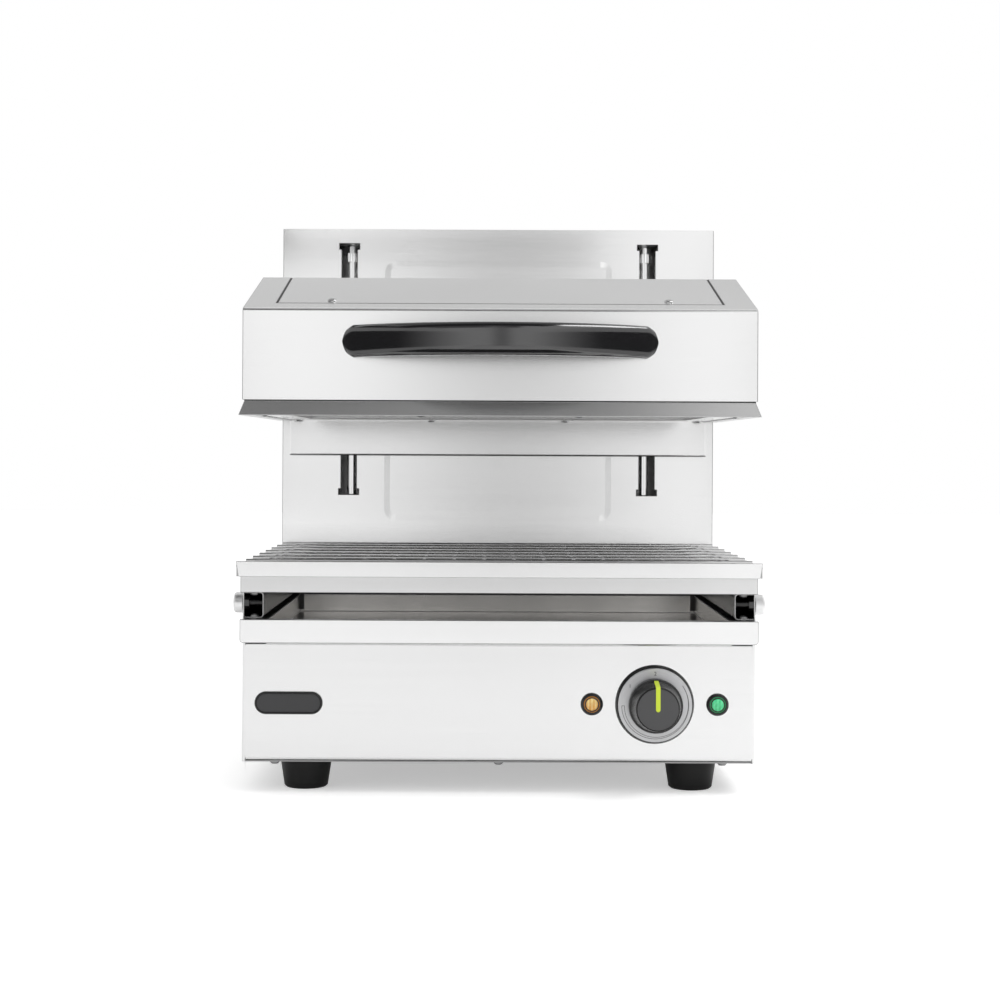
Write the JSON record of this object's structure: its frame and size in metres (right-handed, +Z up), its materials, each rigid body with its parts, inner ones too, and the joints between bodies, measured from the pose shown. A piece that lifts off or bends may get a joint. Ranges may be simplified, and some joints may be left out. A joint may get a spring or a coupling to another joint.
{
  "type": "salamander grill",
  "caption": "Countertop lift-head salamander grill: brushed steel base with wire grid and sliding drip tray, and a heating hood with a bow handle that slides up a rear column.",
  "frame": {"origin": "on the table plane under the middle of the whole object's box", "axes": "+Z up, +X to the right seen from the front, the front faces -Y"},
  "size_m": [0.456, 0.487, 0.5206],
  "materials": {
    "housing_steel": "fine horizontal brush, satin",
    "back_steel": "fine horizontal brush, satin",
    "inner_steel": "plain mill finish",
    "reflector_steel": "polished, slightly straw-tinted by heat",
    "chrome_wire": "bright chrome wire",
    "polished_rod": "hard-chromed and polished",
    "fastener_steel": "bright zinc-plated",
    "bolt_cap": "satin turned cap",
    "element_sheath": "oxidised dark heating tube",
    "cast_block": "machined",
    "bronze_bush": "sintered bronze",
    "gas_tube": "black lacquer",
    "wool": "mineral wool",
    "handle_plastic": "gloss black moulding",
    "knob_plastic": "satin dark grey moulding",
    "bezel_plastic": "black moulding",
    "dial_face": "circular brush, grey",
    "pointer_lime": "lime inlay",
    "lens_amber": "ribbed amber lens",
    "lens_green": "ribbed green lens",
    "badge_plastic": "bare dark plate",
    "foot_rubber": "black rubber",
    "gland_plastic": "black polyamide",
    "terminal_plastic": "ivory polyamide"
  },
  "bodies": {
    "base": {"base_housing": "housing_steel", "front_crossbar": "housing_steel", "top_frame": "housing_steel", "back_panel": "back_steel", "column_cover": "back_steel", "base_rear_panel": "back_steel", "base_bottom": "inner_steel", "tray_shelf": "inner_steel", "side_channel_right": "inner_steel", "side_channel_left": "inner_steel", "rod_bracket_lower": "inner_steel", "rod_bracket_upper": "inner_steel", "gas_spring_bracket": "inner_steel", "guide_rod_right": "polished_rod", "guide_rod_left": "polished_rod", "stop_collars": "polished_rod", "foot_bolts": "fastener_steel", "body_screws": "fastener_steel", "side_bolt_nuts": "fastener_steel", "side_bolts": "bolt_cap", "gas_spring_cylinder": "gas_tube", "regulator_body": "knob_plastic", "dial_bezel": "bezel_plastic", "lamp_ring_amber": "bezel_plastic", "lamp_ring_green": "bezel_plastic", "dial_plate": "dial_face", "lamp_lens_amber": "lens_amber", "lamp_lens_green": "lens_green", "badge_plate": "badge_plastic", "foot_front_left": "foot_rubber", "foot_front_right": "foot_rubber", "foot_rear_left": "foot_rubber", "foot_rear_right": "foot_rubber", "cable_gland": "gland_plastic", "gland_nut": "gland_plastic", "terminal_block": "terminal_plastic"},
    "head": {"head_shell": "housing_steel", "head_top_cover": "housing_steel", "head_skirt": "housing_steel", "underside_frame": "inner_steel", "reflector": "reflector_steel", "insulation": "wool", "element_front": "element_sheath", "element_rear": "element_sheath", "element_hangers": "inner_steel", "rear_apron": "back_steel", "head_screws": "fastener_steel", "handle": "handle_plastic", "handle_screws": "fastener_steel", "lift_arms": "inner_steel", "carriages": "cast_block", "guide_bushes": "bronze_bush", "carriage_bar": "inner_steel", "gas_spring_rod": "polished_rod"},
    "knob": {"knob": "knob_plastic", "knob_pointer": "pointer_lime", "knob_shaft": "polished_rod"},
    "tray": {"drip_tray": "housing_steel"},
    "grid": {"wire_grid": "chrome_wire"}
  },
  "joints": [
    {"name": "head_lift", "type": "slide", "parent": "base", "child": "head", "axis": [0, 0, 1], "range_m": [-0.05, 0.1]},
    {"name": "knob_turn", "type": "hinge", "parent": "base", "child": "knob", "pos_m": [0.1335, -0.1775, 0.07735], "axis": [0, 1, 0], "range_deg": [-60, 210]},
    {"name": "tray_slide", "type": "slide", "parent": "base", "child": "tray", "axis": [0, -1, 0], "range_m": [0, 0.28]},
    {"name": "grid_lift", "type": "slide", "parent": "base", "child": "grid", "axis": [0, 0, 1], "range_m": [0, 0.025]}
  ]
}
